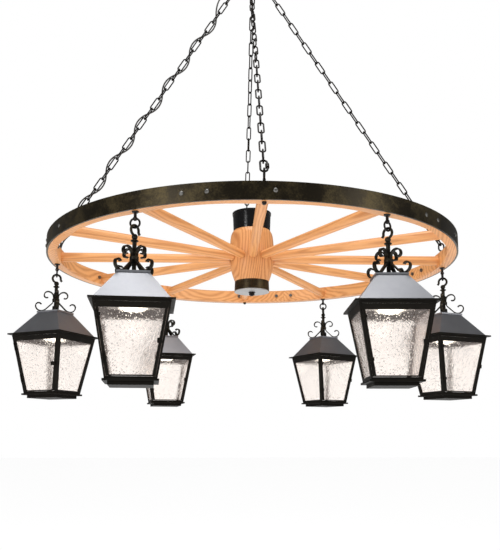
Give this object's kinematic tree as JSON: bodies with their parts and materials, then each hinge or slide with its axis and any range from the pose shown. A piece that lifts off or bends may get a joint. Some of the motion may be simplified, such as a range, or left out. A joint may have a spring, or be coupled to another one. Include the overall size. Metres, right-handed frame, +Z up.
{
  "type": "wagon wheel chandelier",
  "caption": "Wooden wagon wheel chandelier with an iron tyre, hung on chains from a ceiling canopy, with square glass lanterns on scroll-topped hooks below its rim.",
  "frame": {"origin": "centre of the ceiling plate's mounting face", "axes": "+Z up, so the fitting hangs below the origin; +X to the viewer's right and -Y towards the viewer; spoke 0 lies along +X"},
  "size_m": [1.7933, 1.5747, 1.9085],
  "materials": {
    "black_iron": "satin",
    "chain_iron": "satin",
    "tyre_iron": "matte",
    "wheel_wood": "satin",
    "zinc_plate": "satin",
    "can_sheet": "satin",
    "driver_case": "matte",
    "cord": "matte",
    "bronze_iron": "satin",
    "lantern_sheet": "satin",
    "seedy_glass": "gloss",
    "lamp_glow": "matte"
  },
  "bodies": {
    "ceiling": {"ceiling_plate": "black_iron", "ceiling_canopy": "black_iron", "canopy_loop": "black_iron", "cord_tail": "cord"},
    "wheel": {"master_ring": "black_iron", "chains": "chain_iron", "chain_eye_bolts": "black_iron", "tyre": "tyre_iron", "felloes": "wheel_wood", "spokes": "wheel_wood", "wheel_bolts": "black_iron", "hub": "wheel_wood", "hub_band": "tyre_iron", "hub_end_disc": "zinc_plate", "hub_can": "can_sheet", "led_driver": "driver_case", "lantern_posts": "black_iron", "supply_cord": "cord"},
    "ring_0_body": {"ring_0": "black_iron"},
    "lantern_0": {"crown_0": "bronze_iron", "housing_0": "lantern_sheet", "panes_0": "seedy_glass", "lamp_0": "lamp_glow"},
    "door_0_body": {"door_0": "lantern_sheet", "door_pane_0": "seedy_glass"},
    "ring_2_body": {"ring_2": "black_iron"},
    "lantern_2": {"crown_2": "bronze_iron", "housing_2": "lantern_sheet", "panes_2": "seedy_glass", "lamp_2": "lamp_glow"},
    "door_2_body": {"door_2": "lantern_sheet", "door_pane_2": "seedy_glass"},
    "ring_4_body": {"ring_4": "black_iron"},
    "lantern_4": {"crown_4": "bronze_iron", "housing_4": "lantern_sheet", "panes_4": "seedy_glass", "lamp_4": "lamp_glow"},
    "door_4_body": {"door_4": "lantern_sheet", "door_pane_4": "seedy_glass"},
    "ring_6_body": {"ring_6": "black_iron"},
    "lantern_6": {"crown_6": "bronze_iron", "housing_6": "lantern_sheet", "panes_6": "seedy_glass", "lamp_6": "lamp_glow"},
    "door_6_body": {"door_6": "lantern_sheet", "door_pane_6": "seedy_glass"},
    "ring_8_body": {"ring_8": "black_iron"},
    "lantern_8": {"crown_8": "bronze_iron", "housing_8": "lantern_sheet", "panes_8": "seedy_glass", "lamp_8": "lamp_glow"},
    "door_8_body": {"door_8": "lantern_sheet", "door_pane_8": "seedy_glass"},
    "ring_10_body": {"ring_10": "black_iron"},
    "lantern_10": {"crown_10": "bronze_iron", "housing_10": "lantern_sheet", "panes_10": "seedy_glass", "lamp_10": "lamp_glow"},
    "door_10_body": {"door_10": "lantern_sheet", "door_pane_10": "seedy_glass"}
  },
  "joints": [
    {"name": "wheel_swing", "type": "hinge", "parent": "ceiling", "child": "wheel", "pos_m": [0, 0, -0.099], "axis": [0, 1, 0], "range_deg": [-8, 8]},
    {"name": "ring_0_swing", "type": "hinge", "parent": "wheel", "child": "ring_0_body", "pos_m": [0.7413, 0, -1.41967], "axis": [0.4195, 0.9078, 0], "range_deg": [-20, 20]},
    {"name": "lantern_0_swing", "type": "hinge", "parent": "ring_0_body", "child": "lantern_0", "pos_m": [0.7413, 0, -1.43977], "axis": [-0.9078, 0.4195, 0], "range_deg": [-15, 15]},
    {"name": "door_0_hinge", "type": "hinge", "parent": "lantern_0", "child": "door_0_body", "pos_m": [0.68807, -0.12962, -1.7214], "axis": [0.0965, 0.2088, -0.9732], "range_deg": [0, 110]},
    {"name": "ring_2_swing", "type": "hinge", "parent": "wheel", "child": "ring_2_body", "pos_m": [0.37065, 0.64199, -1.41967], "axis": [0.9919, -0.1271, 0], "range_deg": [-20, 20]},
    {"name": "lantern_2_swing", "type": "hinge", "parent": "ring_2_body", "child": "lantern_2", "pos_m": [0.37065, 0.64199, -1.43977], "axis": [0.2656, 0.9641, 0], "range_deg": [-15, 15]},
    {"name": "door_2_hinge", "type": "hinge", "parent": "lantern_2", "child": "door_2_body", "pos_m": [0.33931, 0.50541, -1.7214], "axis": [0.0611, 0.2218, -0.9732], "range_deg": [0, 110]},
    {"name": "ring_4_swing", "type": "hinge", "parent": "wheel", "child": "ring_4_body", "pos_m": [-0.37065, 0.64199, -1.41967], "axis": [0.5446, 0.8387, 0], "range_deg": [-20, 20]},
    {"name": "lantern_4_swing", "type": "hinge", "parent": "ring_4_body", "child": "lantern_4", "pos_m": [-0.37065, 0.64199, -1.43977], "axis": [-0.8387, 0.5446, 0], "range_deg": [-15, 15]},
    {"name": "door_4_hinge", "type": "hinge", "parent": "lantern_4", "child": "door_4_body", "pos_m": [-0.44182, 0.52128, -1.7214], "axis": [0.1253, 0.1929, -0.9732], "range_deg": [0, 110]},
    {"name": "ring_6_swing", "type": "hinge", "parent": "wheel", "child": "ring_6_body", "pos_m": [-0.7413, 0, -1.41967], "axis": [0.2419, -0.9703, 0], "range_deg": [-20, 20]},
    {"name": "lantern_6_swing", "type": "hinge", "parent": "ring_6_body", "child": "lantern_6", "pos_m": [-0.7413, 0, -1.43977], "axis": [0.9466, 0.3223, 0], "range_deg": [-15, 15]},
    {"name": "door_6_hinge", "type": "hinge", "parent": "lantern_6", "child": "door_6_body", "pos_m": [-0.87188, -0.05084, -1.7214], "axis": [0.2178, 0.0741, -0.9732], "range_deg": [0, 110]},
    {"name": "ring_8_swing", "type": "hinge", "parent": "wheel", "child": "ring_8_body", "pos_m": [-0.37065, -0.64199, -1.41967], "axis": [0.9919, -0.1271, 0], "range_deg": [-20, 20]},
    {"name": "lantern_8_swing", "type": "hinge", "parent": "ring_8_body", "child": "lantern_8", "pos_m": [-0.37065, -0.64199, -1.43977], "axis": [0.6374, 0.7705, 0], "range_deg": [-15, 15]},
    {"name": "door_8_hinge", "type": "hinge", "parent": "lantern_8", "child": "door_8_body", "pos_m": [-0.45522, -0.75371, -1.7214], "axis": [0.1466, 0.1772, -0.9732], "range_deg": [0, 110]},
    {"name": "ring_10_swing", "type": "hinge", "parent": "wheel", "child": "ring_10_body", "pos_m": [0.37065, -0.64199, -1.41967], "axis": [0.788, 0.6157, 0], "range_deg": [-20, 20]},
    {"name": "lantern_10_swing", "type": "hinge", "parent": "ring_10_body", "child": "lantern_10", "pos_m": [0.37065, -0.64199, -1.43977], "axis": [-0.6794, 0.7337, 0], "range_deg": [-15, 15]},
    {"name": "door_10_hinge", "type": "hinge", "parent": "lantern_10", "child": "door_10_body", "pos_m": [0.27204, -0.74154, -1.7214], "axis": [0.1688, 0.1563, -0.9732], "range_deg": [0, 110]}
  ]
}
